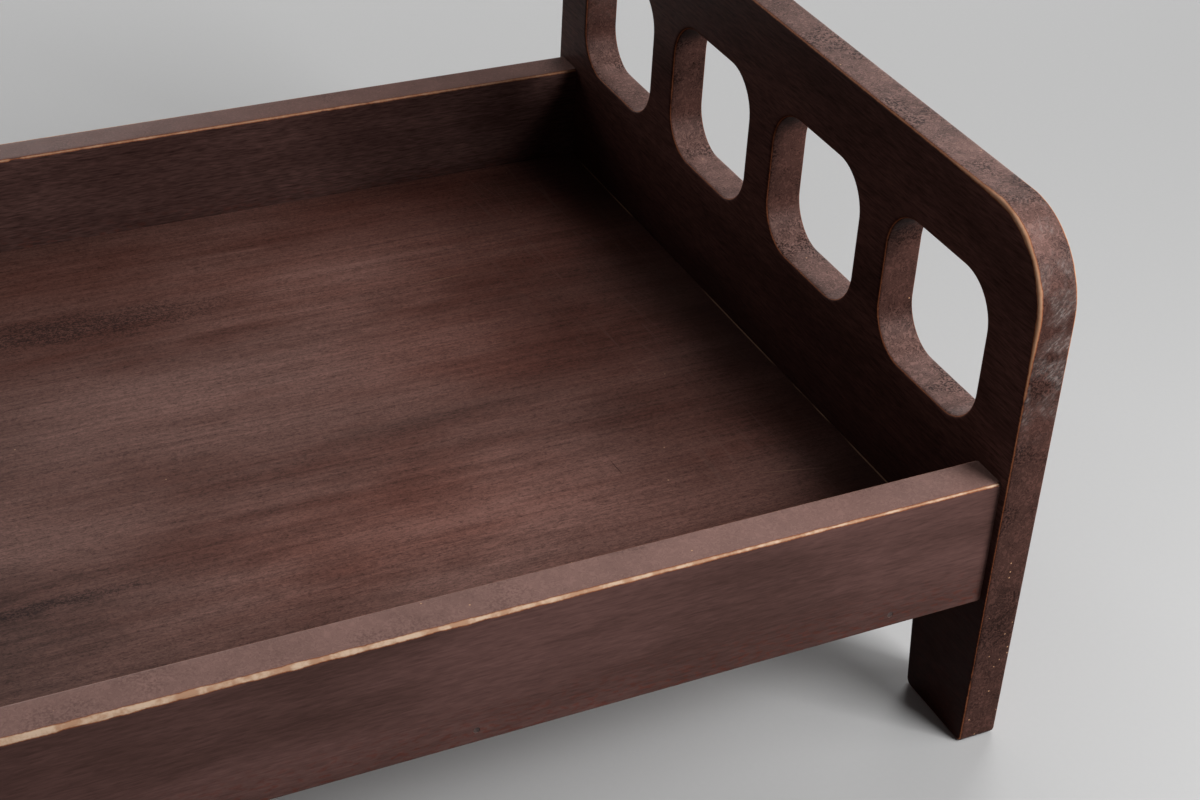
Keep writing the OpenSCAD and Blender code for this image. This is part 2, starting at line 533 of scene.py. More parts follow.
    def _wear(self, recipe: Recipe) -> tuple[NodeSocket, NodeSocket]:
        """Rubs the arrises through to bare board.

        Args:
            recipe: The material's recipe.

        Returns:
            How far each point is worn, and the colour of what shows there.
        """
        run = recipe.pattern((9.0, 9.0, 9.0), detail=2.0)
        nibble = recipe.pattern((1.3, 1.3, 1.3), detail=2.0)
        whole = recipe.step(recipe.pattern((24.0, 24.0, 24.0), detail=3.0, seed=0.9), 0.72, 0.62)
        width = recipe.maths("MULTIPLY", recipe.attribute(RUB), recipe.maths("MULTIPLY_ADD", run, 0.9, 0.55))
        width = recipe.maths("MULTIPLY", width, recipe.maths("MULTIPLY_ADD", whole, 0.8, 0.2))
        near = recipe.maths("MULTIPLY_ADD", nibble, 0.5, recipe.attribute(FROM_ARRIS))
        depth = recipe.maths("SUBTRACT", recipe.maths("ADD", width, 0.25), near)
        worn = recipe.step(depth, 0.0, 0.28)
        rim = recipe.blend(recipe.step(depth, 0.15, 0.8), linear(self.bare_rim), linear(self.bare_middle))
        dirt = recipe.step(recipe.pattern((6.0, 6.0, 6.0), detail=4.0, seed=0.6), 0.4, 0.6)
        pale = recipe.maths("MULTIPLY", recipe.attribute(PALE), recipe.step(depth, 0.25, 0.85))
        pale = recipe.maths("MULTIPLY", pale, recipe.maths("MULTIPLY_ADD", dirt, 0.75, 0.25))
        return worn, recipe.blend(pale, rim, linear(self.bare_core))


@dataclass(frozen=True)
class Patch:
    """A long patch on the veneer: lighter or darker, partly stain and partly painted light and shade, or
    charcoal specks.

    The size runs from its middle to its rim. A lift of 0.5 makes the veneer half as bright again.
    """

    x_mm: float
    y_mm: float
    long_mm: float
    wide_mm: float
    slant: float
    lift: float
    gritty: bool = False


@dataclass(frozen=True)
class Scratch:
    """A straight nick or scratch on the veneer."""

    start_mm: tuple[float, float]
    end_mm: tuple[float, float]
    width_mm: float
    colour: str
    strength: float


@dataclass(frozen=True)
class StainedVeneer:
    """Open-pored veneer under thin brown stain, so that its grain, its pores and the stain's own
    dark and reddish streaks show."""

    name: str = "stained_veneer"
    dark: str = "#4b2e27"
    light: str = "#72564f"
    red: str = "#5a2c22"
    # Colour of the painted shade beside the headboard and the far rail
    wall_shade: str = "#1c0d09"
    smut: str = "#1b1515"
    speck: str = "#c49a7c"
    top_z: float = 86.0 * MM
    red_by_head_mm: tuple[float, float] = (100.0, 280.0)
    red_by_rail_mm: tuple[float, float] = (80.0, 180.0)
    brushed_mm: tuple[float, float] = (200.0, 270.0)
    # Where the painted shade beside the headboard and the far rail reaches
    shade_by_head_mm: tuple[float, float] = (270.0, 345.0)
    shade_by_rail_mm: tuple[float, float] = (203.0, 211.0)
    rubbed_rim_mm: tuple[float, float] = (312.6, 313.0)
    # Soft patches are partly stain blotches and partly painted light and shade: lighter where the key light
    # falls, darker towards the foot and by the far corner
    patches: tuple[Patch, ...] = (
        Patch(112.0, -88.0, 120.0, 60.0, 3.0, 0.5),
        Patch(180.0, 35.0, 90.0, 60.0, 0.0, 0.35),
        Patch(150.0, 108.0, 150.0, 50.0, -3.0, 0.4),
        Patch(150.0, 178.0, 140.0, 30.0, 0.0, 0.2),
        Patch(-200.0, 120.0, 110.0, 40.0, 0.0, 0.25),
        Patch(-110.0, -100.0, 150.0, 75.0, 0.0, -0.5),
        Patch(-70.0, 35.0, 90.0, 70.0, 0.0, -0.2),
        Patch(150.0, -18.0, 90.0, 9.0, 0.0, -0.25),
        Patch(232.0, -42.0, 36.0, 24.0, 0.0, -0.2),
        Patch(262.0, 165.0, 40.0, 34.0, 0.0, -0.35),
        Patch(20.0, 110.0, 150.0, 26.0, -3.0, 0.9, gritty=True),
        Patch(-60.0, -84.0, 120.0, 9.0, 0.0, 0.9, gritty=True),
        Patch(-230.0, 60.0, 90.0, 20.0, 5.0, 0.8, gritty=True),
    )
    scratches: tuple[Scratch, ...] = (
        Scratch((208.1, -74.8), (208.8, -89.3), 0.7, "#22130f", 0.6),
        Scratch((120.7, -50.1), (139.8, -65.4), 0.6, "#22130f", 0.45),
        Scratch((262.0, -108.0), (300.0, -117.0), 0.5, "#a07a66", 0.6),
        Scratch((180.0, 90.0), (214.0, 92.5), 0.6, "#a07a66", 0.45),
        Scratch((-210.0, 20.0), (-176.0, 31.0), 0.5, "#a07a66", 0.4),
    )

    def build(self) -> Material:
        """Makes the material.

        Returns:
            The finished material.
        """
        recipe = Recipe.empty(bpy.data.materials.new(self.name))
        hatch = recipe.pattern((4.5, 0.8, 0.8), detail=3.0, distortion=1.6)
        cross = recipe.pattern((1.2, 3.0, 1.2), detail=1.0, distortion=0.6, seed=0.4)
        lines = recipe.pattern((120.0, 1.6, 1.6), detail=3.0, seed=0.1)
        marks = recipe.maths("MULTIPLY_ADD", hatch, 1.7, recipe.maths("MULTIPLY", cross, 0.35))
        marks = recipe.maths("MULTIPLY_ADD", lines, 0.9, marks)
        pores = recipe.ridges(recipe.pattern((3.2, 1.8, 1.8), detail=1.0, distortion=1.0, seed=0.9), 0.07)
        marks = recipe.maths("MULTIPLY_ADD", pores, -0.3, marks)
        colour = recipe.blend(1.0, self._stain(recipe), recipe.maths("SUBTRACT", marks, 0.38), "MULTIPLY")
        specks = recipe.dots(cell_mm=9.0, radius_mm=0.5, share=0.1)
        colour = recipe.blend(recipe.maths("MULTIPLY", specks, 0.6), colour, linear(self.speck))
        # Patches, partly painted light and shade
        colour = self._patched(recipe, colour)
        colour = self._brushed(recipe, colour)
        colour = self._scratched(recipe, colour)
        # Painted shade beside the headboard and the far rail
        colour = self._shaded_by_walls(recipe, colour)
        roughness = recipe.maths("MULTIPLY_ADD", hatch, 0.25, 0.4)
        inputs = {"Base Color": colour, "Roughness": roughness, "Specular IOR Level": 0.03}
        return recipe.surface(inputs, recipe.maths("MULTIPLY_ADD", cross, 0.5, hatch), depth_mm=0.05)

    def _stain(self, recipe: Recipe) -> NodeSocket:
        """Lays the stain's broad soft streaks.

        Args:
            recipe: The material's recipe.

        Returns:
            The colour.
        """
        broad = recipe.pattern((170.0, 70.0, 70.0), detail=3.0, seed=0.6)
        streaks = recipe.pattern((110.0, 9.0, 9.0), detail=3.0, distortion=0.3, seed=0.2)
        both = recipe.maths("MULTIPLY_ADD", broad, 0.78, recipe.maths("MULTIPLY", streaks, 0.22))
        tone = recipe.blend(recipe.step(both, 0.26, 0.72), linear(self.dark), linear(self.light))
        tint = recipe.step(recipe.pattern((200.0, 45.0, 45.0), detail=2.0, seed=0.7), 0.4, 0.8)
        x, y, _ = recipe.axes()
        red = recipe.maths("MULTIPLY_ADD", recipe.fade(x, self.red_by_head_mm), 0.25, 0.06)
        red = recipe.maths("MULTIPLY_ADD", recipe.fade(y, self.red_by_rail_mm), 0.16, red)
        return recipe.blend(recipe.maths("MULTIPLY_ADD", tint, 0.08, red), tone, linear(self.red))

    def _patched(self, recipe: Recipe, colour: NodeSocket) -> NodeSocket:
        """Lays the patches, which thin out to ragged rims.

        Args:
            recipe: The material's recipe.
            colour: The colour under them.

        Returns:
            The colour with them.
        """
        ragged = recipe.pattern((24.0, 7.0, 7.0), detail=2.0, seed=0.8)
        lift: Value = 1.0
        specked: Value = 0.0
        for patch in self.patches:
            away = self._away(recipe, (patch.x_mm, patch.y_mm), (patch.long_mm, patch.wide_mm), patch.slant)
            inside = recipe.step(recipe.maths("ADD", ragged, away), 1.5, 0.6)
            if patch.gritty:
                specked = recipe.maths("MULTIPLY_ADD", inside, patch.lift, specked)
            else:
                lift = recipe.maths("MULTIPLY_ADD", inside, patch.lift, lift)
        colour = recipe.blend(1.0, colour, lift, "MULTIPLY")
        flecks = recipe.pattern((1.3, 0.9, 0.9), detail=2.0, distortion=0.8, seed=0.3)
        grit = recipe.step(recipe.maths("MULTIPLY_ADD", specked, 0.16, flecks), 0.6, 0.68)
        dust = recipe.maths("MULTIPLY", specked, recipe.maths("MULTIPLY_ADD", grit, 0.7, 0.12))
        return recipe.blend(dust, colour, linear(self.smut))

    def _away(
        self,
        recipe: Recipe,
        middle_mm: tuple[float, float],
        half_mm: tuple[float, float],
        slant: float,
    ) -> NodeSocket:
        """Measures how far each point lies from the middle of an oval, counted in its half sizes.

        Args:
            recipe: The material's recipe.
            middle_mm: The oval's middle.
            half_mm: Its half length and half width.
            slant: Degrees that its length is turned from the grain.

        Returns:
            0 in its middle and 1 on its rim.
        """
        middle = (middle_mm[0] * MM, middle_mm[1] * MM, self.top_z)
        cell = (half_mm[0] * MM, half_mm[1] * MM, 1.0)
        return recipe.away(recipe.grid(middle, (0.0, 0.0, math.radians(slant)), cell))

    def _brushed(self, recipe: Recipe, colour: NodeSocket) -> NodeSocket:
        """Adds the faint pale brush lines that cross the grain beside the headboard.

        Args:
            recipe: The material's recipe.
            colour: The colour under them.

        Returns:
            The colour with them.
        """
        across = recipe.pattern((6.5, 170.0, 6.5), detail=1.0, seed=0.6, turn=(0.0, 0.0, 2.0))
        beside = recipe.maths("MULTIPLY", recipe.fade(recipe.axes()[0], self.brushed_mm), 0.3)
        lines = recipe.maths("MULTIPLY", recipe.ridges(across, 0.012), beside)
        return recipe.blend(lines, colour, linear(self.light))

    def _scratched(self, recipe: Recipe, colour: NodeSocket) -> NodeSocket:
        """Adds the nicks and scratches, each a thin line between two points.

        Args:
            recipe: The material's recipe.
            colour: The colour under them.

        Returns:
            The colour with them.
        """
        for scratch in self.scratches:
            start, end = Vector(scratch.start_mm), Vector(scratch.end_mm)
            run = end - start
            slant = math.degrees(math.atan2(run.y, run.x))
            half = (run.length / 2, scratch.width_mm / 2)
            away = self._away(recipe, tuple((start + end) / 2), half, slant)
            inside = recipe.maths("MULTIPLY", recipe.step(away, 1.0, 0.5), scratch.strength)
            colour = recipe.blend(inside, colour, linear(scratch.colour))
        return colour

    def _shaded_by_walls(self, recipe: Recipe, colour: NodeSocket) -> NodeSocket:
        """Paints shade on the veneer beside the headboard and the far rail, and lays a thin pale line along
        the headboard's foot.

        Args:
            recipe: The material's recipe.
            colour: The colour under it.

        Returns:
            The colour with it.
        """
        x, y, _ = recipe.axes()
        wander = recipe.pattern((50.0, 50.0, 50.0), detail=2.0, seed=0.2)
        by_head = recipe.fade(recipe.maths("MULTIPLY_ADD", wander, 0.05, x), self.shade_by_head_mm)
        by_rail = recipe.fade(recipe.maths("MULTIPLY_ADD", wander, 0.02, y), self.shade_by_rail_mm)
        by_rail = recipe.maths("MULTIPLY", by_rail, 0.6)
        # Painted shade where the headboard and the far rail shade the veneer
        wall_shading = recipe.maths("MAXIMUM", recipe.maths("MULTIPLY", by_head, 0.85), by_rail)
        colour = recipe.blend(wall_shading, colour, linear(self.wall_shade))
        rubbed = recipe.fade(x, self.rubbed_rim_mm)
        rubbed = recipe.maths("MULTIPLY", rubbed, recipe.step(wander, 0.42, 0.55))
        return recipe.blend(recipe.maths("MULTIPLY", rubbed, 0.3), colour, linear(self.speck))


@dataclass(frozen=True)
class TurnedBeech:
    """Bare turned beech: pale pinkish tan, with short fine rays along each dowel."""

    name: str = "turned_beech"

    def build(self) -> Material:
        """Makes the material.

        Returns:
            The finished material.
        """
        recipe = Recipe.empty(bpy.data.materials.new(self.name))
        rays = recipe.pattern((4.0, 0.35, 0.35), detail=3.0)
        tone = recipe.add("ShaderNodeValToRGB", {"Fac": rays}, ramp=((0.35, "#a9825a"), (0.65, "#cfae84")))
        return recipe.surface({"Base Color": tone.outputs["Color"], "Roughness": 0.6}, rays, depth_mm=0.04)


@dataclass(frozen=True)
class DrawnSteel:
    """Plain drawn steel wire: grey metal with fine draw lines along each brad."""

    name: str = "drawn_steel"

    def build(self) -> Material:
        """Makes the material.

        Returns:
            The finished material.
        """
        recipe = Recipe.empty(bpy.data.materials.new(self.name))
        # Real draw lines are too fine to show, so they are drawn coarser
        lines = recipe.pattern((0.12, 6.0, 0.12), detail=2.0)
        tone = recipe.add("ShaderNodeValToRGB", {"Fac": lines}, ramp=((0.3, "#7d7d7b"), (0.7, "#a4a4a1")))
        inputs = {
            "Base Color": tone.outputs["Color"],
            "Metallic": 1.0,
            "Roughness": recipe.maths("MULTIPLY_ADD", lines, 0.2, 0.3),
        }
        return recipe.surface(inputs, lines, depth_mm=0.01)


@dataclass(frozen=True)
class StainedFiller:
    """Wood filler stained with the board: darker than it, matt and slightly crumbly."""

    name: str = "stained_filler"

    def build(self) -> Material:
        """Makes the material.

        Returns:
            The finished material.
        """
        recipe = Recipe.empty(bpy.data.materials.new(self.name))
        # Real crumbs are finer than a pixel, so they are drawn as coarse as they need to show
        crumbs = recipe.pattern((0.4, 0.4, 0.4), detail=3.0)
        tone = recipe.add("ShaderNodeValToRGB", {"Fac": crumbs}, ramp=((0.35, "#2a1d1b"), (0.7, "#4d3833")))
        return recipe.surface({"Base Color": tone.outputs["Color"], "Roughness": 0.6}, crumbs, depth_mm=0.06)


@dataclass(frozen=True)
class PaperBackdrop:
    """Pale grey studio paper, matt, with a barely visible tooth; it looks evenly lit far from the bed."""

    name: str = "paper_backdrop"
    colour: str = "#c4c4c4"
    far_starts: float = 1.05
    far_ends: float = 2.1

    def build(self) -> Material:
        """Makes the material.

        Returns:
            The finished material.
        """
        recipe = Recipe.empty(bpy.data.materials.new(self.name))
        # Real tooth is finer than a pixel, so it is drawn as coarse as it needs to show
        tooth = recipe.pattern((2.5, 2.5, 2.5), detail=2.0)
        shade = recipe.maths("MULTIPLY_ADD", tooth, 0.03, 0.985)
        colour = recipe.blend(1.0, linear(self.colour), shade, "MULTIPLY")
        far = recipe.step(recipe.away(recipe.place()), self.far_starts, self.far_ends)
        even = recipe.maths("MULTIPLY", far, recipe.seen())
        inputs = {
            "Base Color": recipe.blend(even, colour, linear("#000000")),
            "Roughness": 0.9,
            "Specular IOR Level": 0.0,
            "Emission Color": linear(self.colour),
            "Emission Strength": even,
        }
        return recipe.surface(inputs)


class Bench:
    """One mesh at the bench, edited with Blender's own operators as by hand."""

    def __init__(self, obj: Object) -> None:
        """Takes an object that a primitive operator has just made.

        Args:
            obj: The object to shape.
        """
        self.obj = obj

    @staticmethod
    def clear() -> None:
        """Leaves edit mode and deselects everything."""
        if bpy.context.mode != "OBJECT":
            bpy.ops.object.mode_set(mode="OBJECT")
        bpy.ops.object.select_all(action="DESELECT")

    @classmethod
    def block(cls, name: str, low: Vector, high: Vector) -> "Bench":
        """Puts a square block on the bench.

        Args:
            name: The new object's name.
            low: Its lowest corner.
            high: Its highest corner.

        Returns:
            The bench with the block on it.
        """
        cls.clear()
        bpy.ops.mesh.primitive_cube_add(size=1.0, location=(low + high) / 2)
        return cls._placed(name, high - low)

    @classmethod
    def sheet(cls, name: str, x: float, width: float, height: float) -> "Bench":
        """Puts a flat sheet on the bench, standing on the floor across the bed.

        Args:
            name: The new object's name.
            x: Its place along the bed.
            width: Its width along Y, centred.
            height: Its height from the floor.

        Returns:
            The bench with the sheet on it.
        """
        cls.clear()
        upright = (0.0, math.pi / 2, 0.0)
        bpy.ops.mesh.primitive_plane_add(size=1.0, location=(x, 0.0, height / 2), rotation=upright)
        return cls._placed(name, Vector((height, width, 1.0)))

    @classmethod
    def _placed(cls, name: str, scale: Vector) -> "Bench":
        """Names and sizes the new primitive and puts its place into its mesh.

        Args:
            name: The object's name.
            scale: The size along each of its own axes.

        Returns:
            The bench with the object on it.
        """
        obj = bpy.context.object
        obj.name = name
        obj.data.name = name
        obj.scale = scale
        bpy.ops.object.transform_apply(location=True, rotation=True, scale=True)
        return cls(obj)

    def open(self) -> None:
        """Enters edit mode on this mesh alone."""
        self.clear()
        self.obj.select_set(True)
        bpy.context.view_layer.objects.active = self.obj
        bpy.ops.object.mode_set(mode="EDIT")

    def close(self) -> None:
        """Leaves edit mode."""
        bpy.ops.object.mode_set(mode="OBJECT")

    def pick(self, part: Part, test: Callable[..., bool]) -> int:
        """Selects the parts that pass a test, and nothing else, in edit mode.

        Args:
            part: Whether vertices, edges or faces are picked.
            test: Says of each one whether it is picked.

        Returns:
            How many were picked.
        """
        bpy.ops.mesh.select_mode(type=part.value)
        bpy.ops.mesh.select_all(action="DESELECT")
        shape = bmesh.from_edit_mesh(self.obj.data)
        group = {Part.VERTS: shape.verts, Part.EDGES: shape.edges, Part.FACES: shape.faces}[part]
        chosen = [item for item in group if test(item)]
        for item in chosen:
            item.select_set(True)
        shape.select_flush_mode()
        bmesh.update_edit_mesh(self.obj.data)
        return len(chosen)

    def divide_long_edges(self, longest: float, test: Callable[..., bool]) -> None:
        """Halves long edges until none is longer than allowed, so that marks can vary along them.

        Args:
            longest: The longest edge that may stay.
            test: Says of each edge whether it may be divided.
        """
        while self.pick(Part.EDGES, lambda e: e.calc_length() > longest and test(e)):
            bpy.ops.mesh.subdivide(number_cuts=1)

    def apply(self, kind: str, **settings: object) -> None:
        """Adds a modifier with its settings and applies it.

        Args:
            kind: Blender's name for the modifier's type.
            settings: The modifier's own properties.
        """
        self.clear()
        self.obj.select_set(True)
        bpy.context.view_layer.objects.active = self.obj
        modifier = self.obj.modifiers.new(kind.lower(), kind)
        for key, value in settings.items():
            setattr(modifier, key, value)
        bpy.ops.object.modifier_apply(modifier=modifier.name)

    def mark(self, name: str, domain: str, values: Iterable[float]) -> None:
        """Writes one attribute on the mesh.

        Args:
            name: The attribute's name.
            domain: Blender's name for what carries it.
            values: One value for each of them.
        """
        layer = self.obj.data.attributes.new(name, "FLOAT", domain)
        layer.data.foreach_set("value", list(values))


@dataclass
class Board:
    """A flat board of the bed with eased arrises, which stands in the place of its CAD node."""

    node: str
    name: str
    slot: str
    finish: Material
    thin_axis: int = 2
    arris_r: float = 1.5 * MM
    band: float = 4.0 * MM
    arris_segments: int = 4
    mark_step: float = 24.0 * MM

    def __post_init__(self) -> None:
        """Reads the board's own place from the frame."""
        self.low, self.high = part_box(self.node)

    def build(self) -> Object:
        """Models the board, marks it for its finish and seats it in the frame.

        Returns:
            The finished piece.
        """
        bench = self.shape()
        self.ease(bench)
        self.detail(bench)
        self.dress(bench)
        piece = bench.obj
        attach(piece, BODY)
        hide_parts(self.node)
        log.info("%s: %d faces in place of %s", piece.name, len(piece.data.polygons), self.node)
        return piece

    def shape(self) -> Bench:
        """Makes the board's square-edged blank."""
        raise NotImplementedError

    def detail(self, bench: Bench) -> None:
        """Adds what is cut after the arrises are eased; a plain board has nothing."""

    def ease(self, bench: Bench) -> None:
        """Rounds the arrises and gives the rounded faces a material slot of their own.

        Args:
            bench: The bench with the blank on it.
        """
        for _ in range(2):
            bench.obj.data.materials.append(self.finish)
        bench.open()
        bench.pick(Part.EDGES, self.is_arris)
        bpy.ops.mesh.bevel(
            offset_type="OFFSET",
            offset=self.arris_r,
            segments=self.arris_segments,
            affect="EDGES",
            material=EASED_SLOT,
        )
        bench.close()
        bpy.ops.object.shade_smooth_by_angle(angle=SMOOTH_UNDER)
        bench.apply("WEIGHTED_NORMAL", keep_sharp=True)

    def dress(self, bench: Bench) -> None:
        """Writes the attributes that the finish reads, and puts every face back on the board's one finish.

        Args:
            bench: The bench with the eased board on it.
        """
        mesh = bench.obj.data
        eased = {v for p in mesh.polygons if p.material_index == EASED_SLOT for v in p.vertices}
        half_arc = self.arris_r * math.pi / 4
        inner = (half_arc + self.band - self.arris_r) / MM
        places = [v.co.copy() for v in mesh.vertices]
        near = [self._round_the_arris(co) / MM if i in eased else inner for i, co in enumerate(places)]
        bench.mark(FROM_ARRIS, "POINT", near)
        bench.mark(RUB, "POINT", (self.rub(co) for co in places))
        bench.mark(PALE, "POINT", (self.pale(co) for co in places))
        bench.mark(SCUFF_SHEEN, "POINT", (self.scuff_sheen(co) for co in places))
        bench.mark(CUT_EDGE, "FACE", (float(self.is_cut(p.normal)) for p in mesh.polygons))
        bench.mark(PAINTED_LIGHT, "FACE", (self.painted_light(p.center, p.normal) for p in mesh.polygons))
        for polygon in mesh.polygons:
            polygon.material_index = 0
        mesh.materials.pop(index=EASED_SLOT)

    def is_arris(self, edge: bmesh.types.BMEdge) -> bool:
        """Says whether an edge of the square blank is eased."""
        return edge.calc_face_angle() > ARRIS_OVER

    def _round_the_arris(self, place: Vector) -> float:
        """Gives the way round an eased arris from its middle to a point on it."""
        lift = 1 - min(self.depth(place), self.arris_r) / self.arris_r
        return self.arris_r * abs(math.acos(lift) - math.pi / 4)

    def depth(self, place: Vector) -> float:
        """Gives how deep a point lies under the nearest face plane of the board."""
        sides = [min(place[i] - self.low[i], self.high[i] - place[i]) for i in range(3)]
        return max(min(sides), 0.0)

    def is_cut(self, normal: Vector) -> bool:
        """Says whether a face belongs to the board's cut edges."""
        return abs(normal[self.thin_axis]) < CUT_UNDER

    def rub(self, place: Vector) -> float:
        """Gives how far the arris there is worn back, as half a width in millimetres."""
        raise NotImplementedError

    def pale(self, place: Vector) -> float:
        """Gives how pale the bare board is in the middle of a worn arris there, from 0 to 1."""
        return 0.15

    def is_outside(self, place: Vector) -> bool:
        """Says whether a point lies on the board's half that faces out of the bed."""
        return True

    def painted_light(self, centre: Vector, normal: Vector) -> float:
        """Gives how much painted light a face gets: 0 on the shaded inside of the bed, 1 outside and on top,
        less below.
        """
        return 1.0

    def scuff_sheen(self, place: Vector) -> float:
        """Gives how much pale scuff and painted sheen there is, from 0 to 1."""
        return 0.0


@dataclass
class EndPanel(Board):
    """An end panel: rounded top corners, a row of windows, and an arch that leaves two legs."""

    top_r: float = 38.0 * MM
    leg_w: float = 43.0 * MM
    leg_lean: float = math.radians(6)
    arch_h: float = 66.0 * MM
    arch_r: float = 20.0 * MM
    foot_r: float = 3.0 * MM
    window_count: int = 4
    window_w: float = 74.0 * MM
    window_h: float = 68.0 * MM
    window_gap: float = 23.0 * MM
    window_z: float = 142.0 * MM
    window_r: float = 20.0 * MM
    thin_axis: int = 0
    band: float = 2.7 * MM
    top_segments: int = 24
    arch_segments: int = 16
    window_segments: int = 16
    foot_segments: int = 6

    def shape(self) -> Bench:
        """Cuts the panel from a sheet: legs, corners and windows first, then its thickness.

        Returns:
            The bench with the square-edged panel on it.
        """
        thick = self.high.x - self.low.x
        bench = Bench.sheet(self.name, self.low.x, self.high.y - self.low.y, self.high.z)
        bench.open()
        self._cut_arch(bench)
        self._round_outline(bench)
        self._cut_windows(bench)
        bench.divide_long_edges(self.mark_step, lambda e: e.is_boundary)
        bpy.ops.mesh.select_all(action="SELECT")
        bpy.ops.mesh.delete(type="ONLY_FACE")
        bpy.ops.mesh.select_all(action="SELECT")
        bpy.ops.mesh.fill(use_beauty=True)
        bpy.ops.mesh.select_all(action="SELECT")
        bpy.ops.mesh.extrude_region_move(TRANSFORM_OT_translate={"value": (thick, 0.0, 0.0)})
        bpy.ops.mesh.select_all(action="SELECT")
        bpy.ops.mesh.normals_make_consistent(inside=False)
        for side in (-1, 1):
            bench.pick(Part.FACES, lambda f: f.normal.x * side > ALONG_AXIS)
            bpy.ops.mesh.inset(thickness=self.band, use_boundary=True, use_even_offset=True)
        bench.pick(Part.FACES, lambda f: abs(f.normal.x) < SQUARE_TO_AXIS)
        bpy.ops.mesh.inset(thickness=self.band, use_boundary=True, use_even_offset=True)
        bench.close()
        return bench

    def _cut_arch(self, bench: Bench) -> None:
        """Cuts the arch between the legs and leans the legs' inner edges.

        Args:
            bench: The bench with the sheet on it.
        """
        inner = self.high.y - self.leg_w - self.arch_h * math.tan(self.leg_lean)
        cuts = (((0, 0, self.arch_h), (0, 0, 1)), ((0, inner, 0), (0, 1, 0)), ((0, -inner, 0), (0, 1, 0)))
        for place, normal in cuts:
            bpy.ops.mesh.select_all(action="SELECT")
            bpy.ops.mesh.bisect(plane_co=place, plane_no=normal)
        bench.pick(
            Part.FACES,
            lambda f: abs(f.calc_center_median().y) < inner and f.calc_center_median().z < self.arch_h,
        )
        bpy.ops.mesh.delete(type="FACE")
        bpy.ops.mesh.select_all(action="SELECT")
        bpy.ops.mesh.dissolve_limited(angle_limit=math.radians(1))
        for side in (-1, 1):
            bench.pick(Part.VERTS, lambda v: v.co.z < ON_LINE and abs(v.co.y - side * inner) < ON_LINE)
            spread = side * (self.high.y - self.leg_w - inner)
            bpy.ops.transform.translate(value=(0.0, spread, 0.0))

    def _round_outline(self, bench: Bench) -> None:
        """Rounds the top corners, the arch's corners and the corners of the feet.

        Args:
            bench: The bench with the sheet on it.
        """
        arch_back = self.arch_r / math.tan(math.radians(45) + self.leg_lean / 2)
        foot_back = self.foot_r / math.tan(math.radians(45) - self.leg_lean / 2)
        middle = self.high.y - self.leg_w / 2
        corners = (
            (lambda v: v.co.z > self.high.z - ON_LINE, self.top_r, self.top_segments),
            (lambda v: abs(v.co.z - self.arch_h) < ON_LINE, arch_back, self.arch_segments),
            (lambda v: v.co.z < ON_LINE and abs(v.co.y) > middle, self.foot_r, self.foot_segments),
            (lambda v: v.co.z < ON_LINE and abs(v.co.y) < middle, foot_back, self.foot_segments),
        )
        for test, setback, segments in corners:
            bench.pick(Part.VERTS, test)
            self._round_picked(setback, segments)

    @staticmethod
    def _round_picked(setback: float, segments: int) -> None:
        """Rounds the picked corners of a flat sheet.

        Args:
            setback: Distance from each corner to where its arc starts.
            segments: Pieces of each arc.
        """
        bpy.ops.mesh.bevel(offset_type="ABSOLUTE", offset=setback, segments=segments, affect="VERTICES")

    def _cut_windows(self, bench: Bench) -> None:
        """Lays the row of rounded windows on the sheet as outlines of their own.

        Args:
            bench: The bench with the sheet on it.
        """
        pitch = self.window_w + self.window_gap
        first = -pitch * (self.window_count - 1) / 2
        centre = Vector((self.low.x, first, self.window_z + self.window_h / 2))
        bpy.ops.mesh.select_all(action="DESELECT")
        bpy.ops.mesh.primitive_plane_add(size=1.0, location=centre, rotation=(0.0, math.pi / 2, 0.0))
        bpy.ops.transform.resize(value=(1.0, self.window_w, self.window_h), center_override=centre)
        bpy.ops.mesh.select_mode(type="VERT")
        self._round_picked(self.window_r, self.window_segments)
        for _ in range(self.window_count - 1):
            bpy.ops.mesh.duplicate_move(TRANSFORM_OT_translate={"value": (0.0, pitch, 0.0)})

    def depth(self, place: Vector) -> float:
        """Gives how deep a point lies under the nearer big face."""
        return max(min(place.x - self.low.x, self.high.x - place.x), 0.0)

    def _off_corner(self, place: Vector) -> float:
        """Measures from the middle of the nearer top corner's arc.

        Args:
            place: A point of the panel.

        Returns:
            Its distance in millimetres.
        """
        inset = self.top_r * (1 - math.sqrt(0.5))
        corner = Vector((0.0, self.high.y - inset, self.high.z - inset))
        return (Vector((0.0, abs(place.y), place.z)) - corner).length / MM

    def rub(self, place: Vector) -> float:
        """Gives how far the arris there is worn back: most at the top corners, least on the legs.

        Args:
            place: A point of the panel.

        Returns:
            Half the worn width in millimetres.
        """
        corner = smooth(self._off_corner(place), 70.0, 15.0) * (0.5 if self.is_outside(place) else 0.95)
        foot = 0.15 * smooth(place.z / MM, 60.0, 10.0)
        rim = 10 * MM
        in_row = self.window_z - ON_LINE < place.z < self.high.z - rim
        in_window = in_row and abs(place.y) < self.high.y - rim
        base = 0.38 if in_window else 0.3 + 0.25 * smooth(place.z / MM, 90.0, 190.0)
        return base + corner + foot

    def pale(self, place: Vector) -> float:
        """Gives how pale the worn arris is: more at the top corners, most on the outside."""
        corner = smooth(self._off_corner(place), 60.0, 15.0)
        return 0.05 + corner * (0.7 if self.is_outside(place) else 0.15)

    def is_outside(self, place: Vector) -> bool:
        """Says whether a point lies on the board's half that faces out of the bed."""
        return abs(place.x) > (abs(self.low.x) + abs(self.high.x)) / 2

    def painted_light(self, centre: Vector, normal: Vector) -> float:
        """Gives how much painted light a face gets: fully outside, partly on its upward edges.

        Args:
            centre: The face's centre.
            normal: Its normal.

        Returns:
            0 for the shaded inside, 1 for lit faces, and below 0 for painted shade on the edges that look
            down.
        """
        if self.is_cut(normal):
